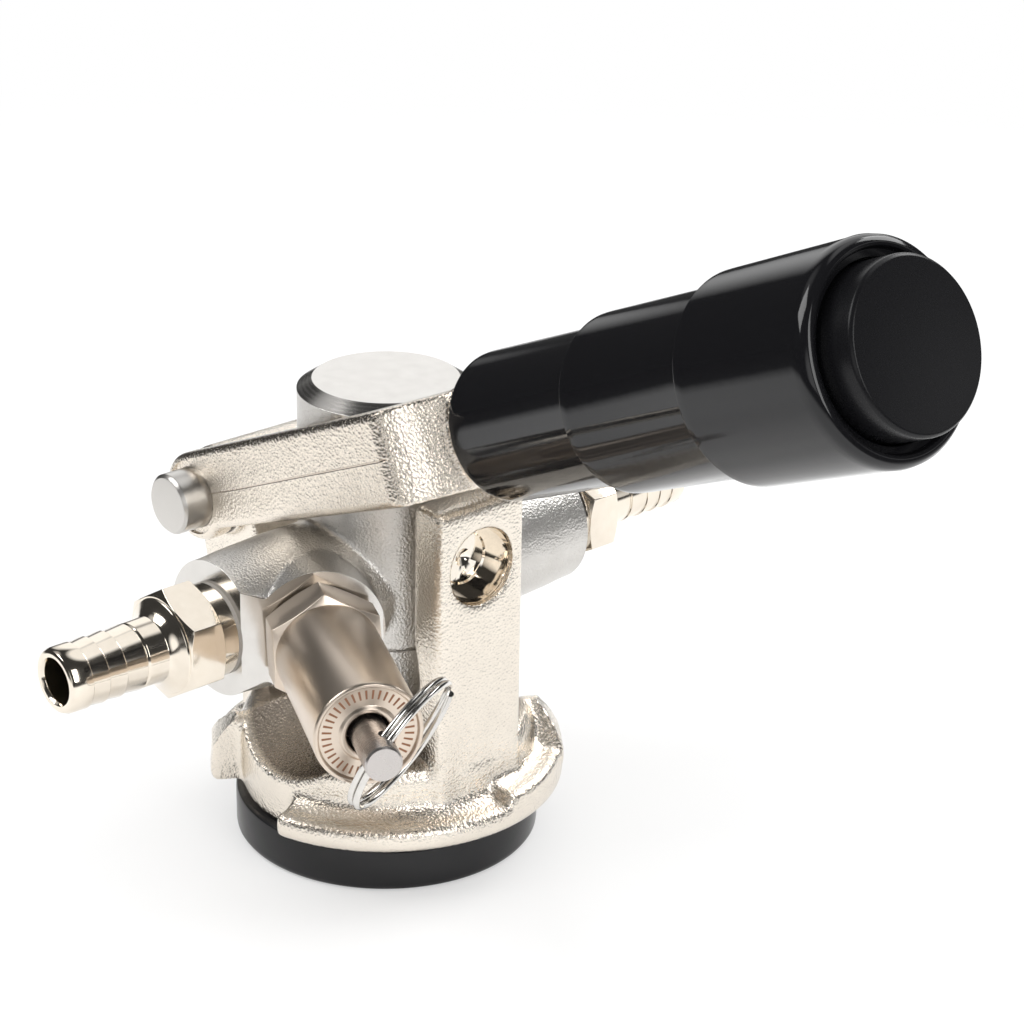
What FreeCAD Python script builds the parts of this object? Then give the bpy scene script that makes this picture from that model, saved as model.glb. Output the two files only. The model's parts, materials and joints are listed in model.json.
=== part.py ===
import FreeCAD, Part
import math
import os
import Sketcher
from FreeCAD import Placement, Rotation, Vector

# Keg coupler, millimetres. Z up, origin at the centre of the base ring's underside,
# lever handle toward +X, beer outlet toward -Y, gas inlet toward +Y.

SIZES = dict(
    run_gap=0.05,            # radial running clearance of turned pairs
    side_gap=0.1,            # end float between the hinge faces
    seat_gap=0.5,            # end clearance left behind the pushed button
    ring_r=30.0, ring_tall=9.0, ring_bore=24.3, ring_round=1.2,
    drum_r=28.5, hub_r=28.9, hub_top=25.5, guide_r=14.25, neck_r=21.5,
    lug_r=35.0, lug_low=10.7, lug_high=15.6, lug_rise=17.6, lug_span=137.0, lug_start=-77.0,
    lug_step_at=4.0, ear_turn=55.0, ear_r=30.5, ear_top=25.0, ear_deep=8.0,
    scoop_r=21.5, scoop_z=41.0,
    post_in=20.0, post_out=28.3, post_half=10.4, post_top=77.5,
    latch_r=7.3, latch_deep=2.6, latch_cone=4.38,
    rear_half=14.0, rear_out=41.0, knuckle_r=9.0,
    hinge_x=-33.0, hinge_z=64.4, rest_tilt=24.0, pin_r=6.05, pin_proud=5.8,
    arm_out=22.0, arm_in=17.3, arm_low=6.9, arm_deep=9.3, arm_top=8.8, arm_end_r=8.8, crotch=67.0,
    hub_end=73.7, hub_end_r=13.2, bend_at=63.5, hub_half=9.3, spigot_r=11.0, spigot_end=90.0,
    drive_at=34.6, drive_r=3.0, drive_travel=14.07, drive_slack=1.5,
    cap_r=16.85, cap_face_r=14.0, cap_top=93.9, cap_chamfer=1.9, head_foot=44.0, barrel_low=6.0,
    port_z=54.2, port_r=14.0, port_end_r=13.0, port_end=41.2, thread_r=6.6, thread_deep=12.0,
    boss_r=12.6, boss_back=15.0, boss_face=16.4,
    relief_turn=64.0, relief_y=-21.0, relief_hex=10.0, relief_hex_end=24.7, relief_r=9.8,
    relief_end=57.2, relief_thread=6.0, stem_r=3.3, stem_end=68.4, stem_hole_at=63.6, stem_hole_r=1.75,
    ring_mean=13.2, wire_r=0.6, ring_lie=38.0, ring_roll=56.0,
    barb_r=6.25, barb_bore=4.2, barb_tip=76.1, hex_half=9.5, hex_back=45.3, hex_front=53.0,
    grip_a=73.9, grip_b=107.7, grip_c=139.1, grip_d=170.3, button_top=175.9, button_r=14.35,
    step_a=13.8, step_b=15.8, step_c=18.0, step_d=18.5, core_r=9.5, bolt_r=7.1, bolt_tip=63.0,
    core_far=158.0, bush_near=148.0, rod_r=3.0, rod_tail_r=2.0, rod_near=80.0, rod_far=171.0,
    bolt_far=84.0, detent_at=75.6, detent_wide=1.4, button_back=167.0, button_travel=5.5,
    oring_z=14.0, oring_wide=2.4, oring_deep=1.6, washer_thick=0.8, barrel_bore=9.0, barrel_bore_top=40.0,
    probe_end=50.0, flow_r=5.2, flow_top=64.0, relief_inner=10.2, relief_bore=3.0, chamber_near=22.0,
    chamber_far=52.0, chamber_r=7.4, poppet_thick=2.0, spring_mean=5.4, spring_wire=0.6,
    probe_r=6.0, probe_bore=4.4, probe_low=2.0,
)

doc = FreeCAD.newDocument("KegCoupler")
sheet = doc.addObject("Spreadsheet::Sheet", "Sizes")
for row, (name, value) in enumerate(SIZES.items(), 1):
    sheet.set(f"A{row}", name)
    sheet.set(f"B{row}", str(value))
    sheet.setAlias(f"B{row}", name)
doc.recompute()


class Size:
    """A number that carries the spreadsheet expression it came from."""

    def __init__(self, value, text):
        self.value = value
        self.text = text

    def join(self, other, sign, flip=False):
        other = size(other)
        a, b = (other, self) if flip else (self, other)
        value = {"+": a.value + b.value, "-": a.value - b.value, "*": a.value * b.value}.get(sign)
        if sign == "/":
            value = a.value / b.value
        return Size(value, f"({a.text} {sign} {b.text})")

    def __add__(self, other):
        return self.join(other, "+")

    def __radd__(self, other):
        return self.join(other, "+", True)

    def __sub__(self, other):
        return self.join(other, "-")

    def __rsub__(self, other):
        return self.join(other, "-", True)

    def __mul__(self, other):
        return self.join(other, "*")

    def __rmul__(self, other):
        return self.join(other, "*", True)

    def __truediv__(self, other):
        return self.join(other, "/")

    def __neg__(self):
        return Size(-self.value, f"(-1 * {self.text})")


def size(q):
    return q if isinstance(q, Size) else Size(float(q), repr(float(q)))


def sin_of(q):
    return Size(math.sin(math.radians(q.value)), f"sin({q.text} * 1 deg)")


def cos_of(q):
    return Size(math.cos(math.radians(q.value)), f"cos({q.text} * 1 deg)")


class Named:
    def __getattr__(self, name):
        return Size(SIZES[name], f"Sizes.{name}")


S = Named()
NODES = []


def bind(obj, prop, q):
    obj.setExpression(prop, size(q).text)


def locate(obj, at=(0, 0, 0), axis=(0, 0, 1), turn=0):
    """Place an object by named sizes: a point, an axis and a turn in degrees."""
    x, y, z = [size(q) for q in at]
    obj.Placement = Placement(Vector(x.value, y.value, z.value), Rotation(Vector(*axis), size(turn).value))
    for name, q in zip("xyz", (x, y, z)):
        if q.text != repr(q.value):
            bind(obj, f"Placement.Base.{name}", q)


def body(label, node=True):
    made = doc.addObject("PartDesign::Body", label)
    made.Label = label
    if node:
        NODES.append(made)
    return made


def plane_of(owner, name):
    return [f for f in owner.Origin.OriginFeatures if f.Role == name + "_Plane"][0]


def fresh_sketch(owner, plane, shift=(0, 0, 0), spin=0):
    sk = owner.newObject("Sketcher::SketchObject", owner.Label + "_sketch")
    sk.AttachmentSupport = [(plane_of(owner, plane), "")]
    sk.MapMode = "FlatFace"
    values = [size(q) for q in shift]
    sk.AttachmentOffset = Placement(Vector(*[q.value for q in values]), Rotation(Vector(0, 1, 0), spin))
    for name, q in zip("xyz", values):
        if q.text != repr(q.value):
            bind(sk, f"AttachmentOffset.Base.{name}", q)
    return sk


def pin_down(sk, geo, pos, point):
    for kind, axis_geo, q in zip(("DistanceX", "DistanceY"), (-2, -1), point):
        q = size(q)
        if abs(q.value) < 1e-9:
            sk.addConstraint(Sketcher.Constraint("PointOnObject", geo, pos, axis_geo))
        else:
            index = sk.addConstraint(Sketcher.Constraint(kind, -1, 1, geo, pos, q.value))
            if q.text != repr(q.value):
                bind(sk, f"Constraints[{index}]", q)


def outline(owner, plane, points, shift=(0, 0, 0), spin=0):
    sk = fresh_sketch(owner, plane, shift, spin)
    flat = [Vector(size(a).value, size(b).value, 0) for a, b in points]
    count = len(flat)
    for i in range(count):
        sk.addGeometry(Part.LineSegment(flat[i], flat[(i + 1) % count]), False)
    for i in range(count):
        sk.addConstraint(Sketcher.Constraint("Coincident", i, 2, (i + 1) % count, 1))
    for i, point in enumerate(points):
        pin_down(sk, i, 1, point)
    return sk


def round_outline(owner, plane, centre, radius, shift=(0, 0, 0)):
    sk = fresh_sketch(owner, plane, shift)
    a, b, r = [size(q) for q in (*centre, radius)]
    sk.addGeometry(Part.Circle(Vector(a.value, b.value, 0), Vector(0, 0, 1), r.value), False)
    pin_down(sk, 0, 3, centre)
    index = sk.addConstraint(Sketcher.Constraint("Radius", 0, r.value))
    if r.text != repr(r.value):
        bind(sk, f"Constraints[{index}]", r)
    return sk


def revolve(owner, along_radius, axis="Z", cut=False, angle=360, spin=0, shift=(0, 0, 0)):
    """Turn a closed list of (along, radius) points about one of the body's axes."""
    if axis == "Z":
        sk = outline(owner, "XZ", [(r, a) for a, r in along_radius], shift, spin)
    else:
        sk = outline(owner, "XZ" if axis == "X" else "YZ", along_radius, shift, spin)
    kind = "PartDesign::Groove" if cut else "PartDesign::Revolution"
    made = owner.newObject(kind, owner.Label + "_turned")
    made.Profile = sk
    made.ReferenceAxis = (sk, ["V_Axis" if axis == "Z" else "H_Axis"])
    made.Angle = size(angle).value
    return made


def extrude(owner, sk, thick, cut=False):
    """Pad or pocket a sketch equally to both sides of its plane."""
    made = owner.newObject("PartDesign::Pocket" if cut else "PartDesign::Pad", owner.Label + "_slab")
    made.Profile = sk
    made.SideType = "Symmetric"
    made.Length = size(thick).value
    bind(made, "Length", thick)
    return made


def slab(owner, plane, points, mid, thick, cut=False):
    shift = (0, 0, -size(mid) if plane == "XZ" else mid)
    return extrude(owner, outline(owner, plane, points, shift), thick, cut)


def disc(owner, plane, centre, radius, mid, thick, cut=False):
    shift = (0, 0, -size(mid) if plane == "XZ" else mid)
    return extrude(owner, round_outline(owner, plane, centre, radius, shift), thick, cut)


def soften(owner, radius, wanted, kind="Fillet"):
    """Round or bevel the edges of the body's latest shape that pass a test."""
    doc.recompute()
    base = owner.Tip
    names = [f"Edge{i}" for i, e in enumerate(base.Shape.Edges, 1) if wanted(e)]
    made = owner.newObject("PartDesign::" + kind, owner.Label + "_edges")
    made.Base = (base, names)
    if kind == "Fillet":
        bind(made, "Radius", radius)
    else:
        bind(made, "Size", radius)
    doc.recompute()
    return made


def turned(label, along_radius, axis="Z", at=(0, 0, 0)):
    made = body(label)
    revolve(made, along_radius, axis)
    locate(made, at)
    return made


def tube(near, far, inner, outer, edge=0.0):
    """Closed (along, radius) outline of a sleeve with small bevels on its outer edges."""
    if edge == 0.0:
        return [(near, inner), (far, inner), (far, outer), (near, outer)]
    return [(near, inner), (far, inner), (far, outer - edge), (far - edge, outer),
            (near + edge, outer), (near, outer - edge)]


def hexagon(half, turn=0.0):
    reach = size(half) / math.cos(math.radians(30))
    angles = [math.radians(turn + 60 * k) for k in range(6)]
    return [(reach * math.cos(a), reach * math.sin(a)) for a in angles]


def centre_of(e):
    return e.CenterOfMass


# ---------------------------------------------------------------- base and housing
turned("base_ring", [(0, S.ring_bore), (S.ring_tall, S.ring_bore), (S.ring_tall, S.ring_r - 0.5),
                     (S.ring_tall - 0.5, S.ring_r), (S.ring_round, S.ring_r),
                     (0.35, S.ring_r - 0.35), (0, S.ring_r - S.ring_round)])

housing = body("housing")
spigot_r = S.ring_bore - S.run_gap
revolve(housing, [(0.8, S.neck_r), (S.ring_tall, S.neck_r), (S.ring_tall, S.guide_r), (S.hub_top, S.guide_r),
                  (S.hub_top, S.hub_r - 3.0), (S.hub_top - 0.9, S.hub_r - 1.0), (S.hub_top - 3.0, S.hub_r),
                  (S.lug_high, S.hub_r), (S.ring_tall, S.drum_r),
                  (S.ring_tall, spigot_r), (0.8, spigot_r)])
lug = [(S.lug_low, S.drum_r - 4.0), (S.lug_low, S.lug_r - 1.2), (S.lug_low + 0.5, S.lug_r - 0.3),
       (S.lug_low + 1.4, S.lug_r), (S.lug_high - 1.4, S.lug_r), (S.lug_high - 0.4, S.lug_r - 0.4),
       (S.lug_high, S.lug_r - 1.4), (S.lug_high + 0.3, S.drum_r + 3.0), (S.lug_high + 1.4, S.drum_r + 1.2),
       (S.lug_high + 3.6, S.drum_r - 0.6), (S.lug_high + 5.0, S.drum_r - 4.0)]
lug_mid = SIZES["lug_start"] + SIZES["lug_span"] / 2
lugs = revolve(housing, lug, angle=SIZES["lug_span"], spin=lug_mid)
lugs.Midplane = True
ridge_span = SIZES["lug_span"] / 2 - (SIZES["lug_step_at"] - lug_mid) - 0.8
ridge = [(S.lug_high - 2.0, S.drum_r - 3.5), (S.lug_high - 2.0, S.lug_r - 0.2), (S.lug_rise - 1.2, S.lug_r - 0.2),
         (S.lug_rise - 0.3, S.lug_r - 0.6), (S.lug_rise, S.lug_r - 1.5), (S.lug_rise + 0.2, S.drum_r + 2.6),
         (S.lug_rise + 1.2, S.drum_r + 1.0), (S.lug_rise + 3.0, S.drum_r - 1.0), (S.lug_rise + 3.4, S.drum_r - 3.5)]
ridges = revolve(housing, ridge, angle=ridge_span, spin=SIZES["lug_step_at"] + ridge_span / 2)
ridges.Midplane = True
ear_sketch = outline(housing, "XZ", [(-8.5, S.lug_high - 1.0), (-8.5, S.lug_rise - 0.6), (0.0, S.ear_top),
                                     (3.0, S.ear_top - 0.6), (3.0, S.lug_high - 1.0)],
                     (cos_of(S.ear_turn) * S.ear_r, 0, -1 * sin_of(S.ear_turn) * S.ear_r),
                     SIZES["ear_turn"] + 90)
ear = extrude(housing, ear_sketch, S.ear_deep)
pair = housing.newObject("PartDesign::PolarPattern", "lug_pair")
pair.Originals = [lugs, ridges, ear]
pair.Axis = ([f for f in housing.Origin.OriginFeatures if f.Role == "Z_Axis"][0], [""])
pair.Angle = 360
pair.Occurrences = 2
housing.Tip = pair
doc.recompute()

front_post = slab(housing, "XZ", [(S.post_in, 14.0), (S.post_out, 14.0), (S.post_out, S.post_top - 1.5),
                                  (S.post_out - 1.5, S.post_top), (S.post_in + 1.5, S.post_top),
                                  (S.post_in, S.post_top - 1.5)], 0, S.post_half * 2)
housing.Tip = front_post


def post_corner(e):
    c = centre_of(e)
    tall = e.BoundBox.ZLength > 24 and e.BoundBox.YLength < 0.01
    return tall and abs(abs(c.y) - SIZES["post_half"]) < 0.01 and c.x > 19


soften(housing, 1.2, post_corner)
kx = S.hinge_x
slab(housing, "XZ", [(-S.post_in, 14.0), (-S.post_in, 50.0), (kx + S.knuckle_r * 0.94, S.hinge_z - 3.0),
                                 (kx, S.hinge_z), (kx - S.knuckle_r * 0.97, S.hinge_z - 2.0),
                                 (-S.rear_out, 50.0), (-S.rear_out + 1.6, 43.0), (-S.rear_out + 7.5, 33.0),
                                 (-S.hub_r - 2.6, 26.5), (-S.hub_r - 0.8, 22.0), (-S.hub_r, 14.0)],
                 0, S.rear_half * 2)

knuckle = disc(housing, "XZ", (kx, S.hinge_z), S.knuckle_r, 0, (S.arm_in - S.side_gap - S.washer_thick) * 2)
housing.Tip = knuckle
disc(housing, "XZ", (0, S.scoop_z), S.scoop_r, 0, 80, cut=True)
disc(housing, "XY", (0, 0), S.guide_r, 25, 40, cut=True)
disc(housing, "XY", (0, 0), S.cap_r + 1.2, 60, 66, cut=True)
disc(housing, "XZ", (kx, S.hinge_z), S.pin_r + S.run_gap, 0, 60, cut=True)
revolve(housing, [(S.post_out - S.latch_deep - S.latch_cone, 0), (S.post_out + 1.0, 0),
                          (S.post_out + 1.0, S.latch_r + 0.5), (S.post_out, S.latch_r + 0.5),
                          (S.post_out - 0.5, S.latch_r), (S.post_out - S.latch_deep, S.latch_r)],
                axis="X", cut=True, shift=(0, S.hinge_z, 0))
groove = revolve(housing, tube(S.oring_z, S.oring_z + S.oring_wide, S.guide_r - 1.0, S.guide_r + S.oring_deep),
                 cut=True)
housing.Tip = groove
doc.recompute()

oring_low = S.oring_z + 0.2
oring_high = S.oring_z + S.oring_wide - 0.2
oring_out = S.guide_r + S.oring_deep - 0.1
turned("hub_oring", [(oring_low, oring_out), (oring_low, S.guide_r + 0.1), (oring_low + 0.7, S.guide_r),
                     (oring_high - 0.7, S.guide_r), (oring_high, S.guide_r + 0.1), (oring_high, oring_out)])
turned("base_seal", [(6.2, S.guide_r + 1.4), (5.4, S.guide_r + 2.4), (5.4, S.neck_r - 1.4),
                     (6.2, S.neck_r - 0.1), (S.ring_tall, S.neck_r - 0.1), (S.ring_tall, S.guide_r + 1.4)])

# ---------------------------------------------------------------- sliding valve head
head = body("valve_head")
barrel_r = S.guide_r - S.run_gap
revolve(head, [(S.barrel_low, S.barrel_bore), (S.barrel_bore_top, S.barrel_bore),
               (S.barrel_bore_top, S.probe_r + S.run_gap), (S.probe_end, S.probe_r + S.run_gap),
               (S.probe_end, S.flow_r), (S.flow_top, S.flow_r), (S.flow_top + 3.0, 0), (S.cap_top, 0),
               (S.cap_top, S.cap_face_r),
               (S.cap_top - S.cap_chamfer, S.cap_r), (S.head_foot + 0.8, S.cap_r), (S.head_foot, S.cap_r - 0.8),
               (S.head_foot, barrel_r), (S.barrel_low + 1.0, barrel_r), (S.barrel_low, barrel_r - 1.0)])
reach = S.port_end
arm_side = [(-reach, 0), (reach, 0), (reach, S.port_end_r - 1.0), (reach - 1.0, S.port_end_r),
            (reach - 6.0, S.port_end_r + 0.45), (reach - 16.0, S.port_r), (-reach + 16.0, S.port_r),
            (-reach + 6.0, S.port_end_r + 0.45), (-reach + 1.0, S.port_end_r), (-reach, S.port_end_r - 1.0)]
revolve(head, arm_side, axis="Y", shift=(0, S.port_z, 0))
nx = sin_of(S.relief_turn)
ny = -cos_of(S.relief_turn)


def relief_point(along, across):
    """Plan point measured from the relief axis: along it, and across toward the outlet."""
    return (nx * along + ny * across, S.relief_y + ny * along - nx * across)


def relief_sketch(owner, points):
    """Closed outline drawn in the upright plane that holds the relief valve's axis."""
    sk = owner.newObject("Sketcher::SketchObject", "relief_sketch")
    sk.AttachmentSupport = [(plane_of(owner, "XY"), "")]
    sk.MapMode = "FlatFace"
    upright = Rotation(Vector(0, 0, 1), SIZES["relief_turn"] - 90) * Rotation(Vector(1, 0, 0), 90)
    sk.AttachmentOffset = Placement(Vector(0, SIZES["relief_y"], SIZES["port_z"]), upright)
    flat = [Vector(size(a).value, size(b).value, 0) for a, b in points]
    count = len(flat)
    for i in range(count):
        sk.addGeometry(Part.LineSegment(flat[i], flat[(i + 1) % count]), False)
    for i in range(count):
        sk.addConstraint(Sketcher.Constraint("Coincident", i, 2, (i + 1) % count, 1))
    for i, point in enumerate(points):
        pin_down(sk, i, 1, point)
    return sk


def relief_round(owner, points, cut=False):
    made = owner.newObject("PartDesign::Groove" if cut else "PartDesign::Revolution", "relief_round")
    made.Profile = relief_sketch(owner, points)
    made.ReferenceAxis = (made.Profile[0], ["H_Axis"])
    made.Angle = 360
    return made


relief_round(head, [(0, 0), (S.boss_face + 1.0, 0), (S.boss_face + 1.0, S.boss_r), (6.0, S.boss_r), (0, 9.0)])
slab(head, "XY", [relief_point(S.boss_face, 26.0), relief_point(S.boss_face, -S.boss_back),
                  relief_point(S.boss_face + 20.0, -S.boss_back), relief_point(S.boss_face + 20.0, 26.0)],
     S.port_z, 34.0, cut=True)
revolve(head, [(S.barrel_low - 1.0, 0), (S.barrel_low - 1.0, S.barrel_bore), (S.barrel_bore_top, S.barrel_bore),
               (S.barrel_bore_top, S.probe_r + S.run_gap), (S.probe_end, S.probe_r + S.run_gap),
               (S.probe_end, S.flow_r), (S.flow_top, S.flow_r), (S.flow_top + 3.0, 0)], cut=True)
revolve(head, [(-reach - 1.0, 0), (-reach - 1.0, S.thread_r + 0.8), (-reach, S.thread_r + 0.8),
                   (-reach + 0.8, S.thread_r), (-reach + S.thread_deep, S.thread_r),
                   (-reach + S.thread_deep, 4.0), (0, 4.0), (0, 0)], axis="Y", cut=True, shift=(0, S.port_z, 0))
revolve(head, [(reach + 1.0, 0), (reach + 1.0, S.thread_r + 0.8), (reach, S.thread_r + 0.8),
                   (reach - 0.8, S.thread_r), (reach - S.thread_deep - 4.0, S.thread_r),
                   (reach - S.thread_deep - 4.0, 3.0), (9.0, 3.0), (9.0, 0)],
        axis="Y", cut=True, shift=(0, S.port_z, 0))
disc(head, "XY", (0, 10.2), 2.0, 45, 18, cut=True)
slot_half = S.drive_r + S.drive_slack + 0.45
for side in (-1, 1):
    slab(head, "XZ", [(-slot_half, S.hinge_z + S.drive_travel - S.drive_r - 0.32),
                      (slot_half, S.hinge_z + S.drive_travel - S.drive_r - 0.32),
                      (slot_half, S.hinge_z + S.drive_travel + S.drive_r + 0.32),
                      (-slot_half, S.hinge_z + S.drive_travel + S.drive_r + 0.32)],
         side * (S.cap_r - 1.0), 7.0, cut=True)
doc.recompute()
relief_cut = relief_round(head, [(9.5, 0), (S.boss_face + 1.0, 0), (S.boss_face + 1.0, S.relief_thread),
                                 (9.5, S.relief_thread)], cut=True)
head.Tip = relief_cut
doc.recompute()

turned("probe_tube", [(S.probe_low, S.probe_bore), (S.probe_end, S.probe_bore), (S.probe_end, S.probe_r),
                      (S.probe_low + 4.0, S.probe_r), (S.probe_low + 4.0, S.probe_r + 1.6),
                      (S.probe_low + 0.6, S.probe_r + 1.6), (S.probe_low, S.probe_r + 1.0)])
turned("probe_seal", [(S.probe_low + 4.0, S.probe_r + 0.05), (S.probe_low + 7.0, S.probe_r + 0.05),
                      (S.probe_low + 7.0, S.probe_r + 1.2), (S.probe_low + 6.2, S.probe_r + 2.6),
                      (S.probe_low + 4.8, S.probe_r + 2.6), (S.probe_low + 4.0, S.probe_r + 1.2)])

# ---------------------------------------------------------------- lever and its pivot
def on_lever(made, along=0.0):
    """Seat a body on the raised lever: its X runs along the handle from the pivot."""
    tilt = S.rest_tilt
    locate(made, (S.hinge_x + cos_of(tilt) * along, 0, S.hinge_z + sin_of(tilt) * along), (0, -1, 0), tilt)
    bind(made, "Placement.Rotation.Angle", tilt)


lever = body("lever_fork")
slab(lever, "XZ", [(0, -S.arm_low), (S.hub_end, -S.arm_deep), (S.hub_end, S.arm_top), (0, S.arm_top)],
     0, S.arm_out * 2)
disc(lever, "XZ", (0, 0), S.arm_end_r, 0, S.arm_out * 2)
for side in (-1, 1):
    slab(lever, "XY", [(S.bend_at, side * (S.arm_out + 1.0)), (S.bend_at, side * S.arm_out),
                       (S.bend_at + 2.0, side * (S.arm_out - 0.8)), (S.bend_at + 3.7, side * (S.arm_out - 3.4)),
                       (S.bend_at + 5.1, side * (S.arm_out - 6.4)), (S.bend_at + 7.5, side * (S.hub_half + 3.0)),
                       (S.hub_end, side * S.hub_half), (S.hub_end + 1.0, side * S.hub_half),
                       (S.hub_end + 1.0, side * (S.arm_out + 1.0))], 0, 60, cut=True)
doc.recompute()


def arm_rim(e):
    c = centre_of(e)
    rim = abs(abs(c.y) - SIZES["arm_out"]) < 0.01 and e.BoundBox.YLength < 0.01
    return rim and c.x < SIZES["bend_at"]


soften(lever, 1.3, arm_rim)
inner_mid = S.crotch - S.arm_in
disc(lever, "XY", (inner_mid, 0), S.arm_in, 0, 60, cut=True)
slab(lever, "XY", [(-20, -S.arm_in), (inner_mid, -S.arm_in), (inner_mid, S.arm_in), (-20, S.arm_in)], 0, 60, cut=True)
revolve(lever, [(S.crotch + 1.0, S.bolt_r + 1.0), (S.spigot_end, S.bolt_r + 1.0), (S.spigot_end, S.spigot_r),
                (S.hub_end, S.spigot_r), (S.hub_end, S.hub_end_r - 0.1), (S.hub_end - 0.4, S.hub_end_r),
                (S.hub_end - 1.4, S.hub_end_r - 1.3), (S.hub_end - 3.0, S.hub_end_r - 2.3),
                (S.crotch + 1.0, S.hub_end_r - 2.9)], axis="X")
revolve(lever, [(S.crotch - 6.0, 0), (S.spigot_end + 1.0, 0), (S.spigot_end + 1.0, S.core_r + S.run_gap),
                (S.hub_end + 4.0, S.core_r + S.run_gap), (S.hub_end + 4.0, S.bolt_r + 0.08),
                (S.crotch - 6.0, S.bolt_r + 0.08)], axis="X", cut=True)
disc(lever, "XZ", (0, 0), S.pin_r + S.run_gap, 0, 60, cut=True)
lever_drive = disc(lever, "XZ", (S.drive_at, 0), S.drive_r + 0.02, 0, (S.arm_out - 1.6) * 2, cut=True)
lever.Tip = lever_drive
on_lever(lever)
doc.recompute()

pin_far = S.arm_out + 3.2
turned("hinge_pin", [(-S.arm_out - S.pin_proud, 0), (-S.arm_out - S.pin_proud, S.pin_r - 0.6),
                     (-S.arm_out - S.pin_proud + 0.6, S.pin_r), (S.arm_out + 0.6, S.pin_r),
                     (S.arm_out + 0.6, S.pin_r - 1.2), (S.arm_out + 1.8, S.pin_r - 1.2),
                     (S.arm_out + 1.8, S.pin_r), (pin_far - 0.5, S.pin_r), (pin_far, S.pin_r - 0.5),
                     (pin_far, 0)], "Y", (S.hinge_x, 0, S.hinge_z))
turned("hinge_clip", tube(S.arm_out + 0.65, S.arm_out + 1.75, S.pin_r - 1.18, S.pin_r + 2.4, 0.2), "Y",
       (S.hinge_x, 0, S.hinge_z))
knuckle_end = S.arm_in - S.side_gap - S.washer_thick
for name, side in (("front", -1), ("back", 1)):
    turned(f"pivot_washer_{name}", tube(side * knuckle_end, side * (knuckle_end + S.washer_thick), S.pin_r + 0.1,
                                        S.knuckle_r - 0.3), "Y", (S.hinge_x, 0, S.hinge_z))
    drive = body(f"drive_pin_{name}")
    revolve(drive, [(side * (S.arm_in - 4.1), 0), (side * (S.arm_in - 4.1), S.drive_r - 0.5),
                    (side * (S.arm_in - 3.6), S.drive_r), (side * (S.arm_out - 1.62), S.drive_r),
                    (side * (S.arm_out - 1.62), 0)], axis="Y")
    on_lever(drive, S.drive_at)


# ---------------------------------------------------------------- handle, grip and latch
def on_handle(label, along_radius):
    made = body(label)
    revolve(made, along_radius, axis="X")
    on_lever(made)
    return made


on_handle("handle_core", tube(S.hub_end + 4.0, S.core_far, S.bolt_r + 0.2, S.core_r, 0.4))
on_handle("handle_bush", tube(S.bush_near, S.core_far, S.rod_r + 0.06, S.bolt_r + 0.18, 0.2))
recess_floor = S.button_back - S.button_travel - S.seat_gap
on_handle("handle_grip", [
    (S.grip_a, S.spigot_r + S.run_gap), (S.spigot_end + 0.3, S.spigot_r + S.run_gap),
    (S.spigot_end + 0.3, S.core_r + S.run_gap), (S.core_far, S.core_r + S.run_gap), (S.core_far, S.rod_r + 0.8),
    (recess_floor, S.rod_r + 0.8), (recess_floor, S.button_r + 0.3), (S.grip_d - 1.6, S.button_r + 0.3),
    (S.grip_d - 1.6, S.step_d - 1.7),
    (S.grip_d - 0.5, S.step_d - 1.4), (S.grip_d, S.step_d - 0.9), (S.grip_d - 0.35, S.step_d - 0.3),
    (S.grip_d - 1.2, S.step_d), (S.grip_c + 0.35, S.step_c), (S.grip_c, S.step_c - 0.35),
    (S.grip_c, S.step_b), (S.grip_b + 0.35, S.step_b), (S.grip_b, S.step_b - 0.35), (S.grip_b, S.step_a),
    (S.grip_a + 0.5, S.step_a), (S.grip_a, S.step_a - 0.5)])
on_handle("latch_bolt", [
    (S.bolt_tip, 0), (S.bolt_tip, 3.0), (S.bolt_tip + 2.46, S.bolt_r), (S.detent_at, S.bolt_r),
    (S.detent_at, S.bolt_r - 1.2), (S.detent_at + S.detent_wide, S.bolt_r - 1.2),
    (S.detent_at + S.detent_wide, S.bolt_r), (S.bolt_far, S.bolt_r), (S.bolt_far, S.rod_tail_r + 0.02),
    (S.rod_near, S.rod_tail_r + 0.02), (S.rod_near, 0)])
on_handle("detent_ring", tube(S.detent_at + 0.05, S.detent_at + S.detent_wide - 0.05, S.bolt_r - 1.18,
                              S.bolt_r + 0.04, 0.25))
on_handle("latch_rod", [(S.rod_near, 0), (S.rod_near, S.rod_tail_r), (S.bolt_far, S.rod_tail_r),
                        (S.bolt_far, S.rod_r), (S.button_back, S.rod_r), (S.button_back, S.rod_tail_r), (S.rod_far, S.rod_tail_r),
                        (S.rod_far, 0)])
on_handle("latch_button", [
    (S.button_back, S.rod_tail_r + 0.02), (S.button_back, S.button_r - 0.6), (S.button_back + 0.6, S.button_r),
    (S.button_top - 0.8, S.button_r), (S.button_top, S.button_r - 0.8), (S.button_top, 0), (S.rod_far, 0),
    (S.rod_far, S.rod_tail_r + 0.02)])


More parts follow.
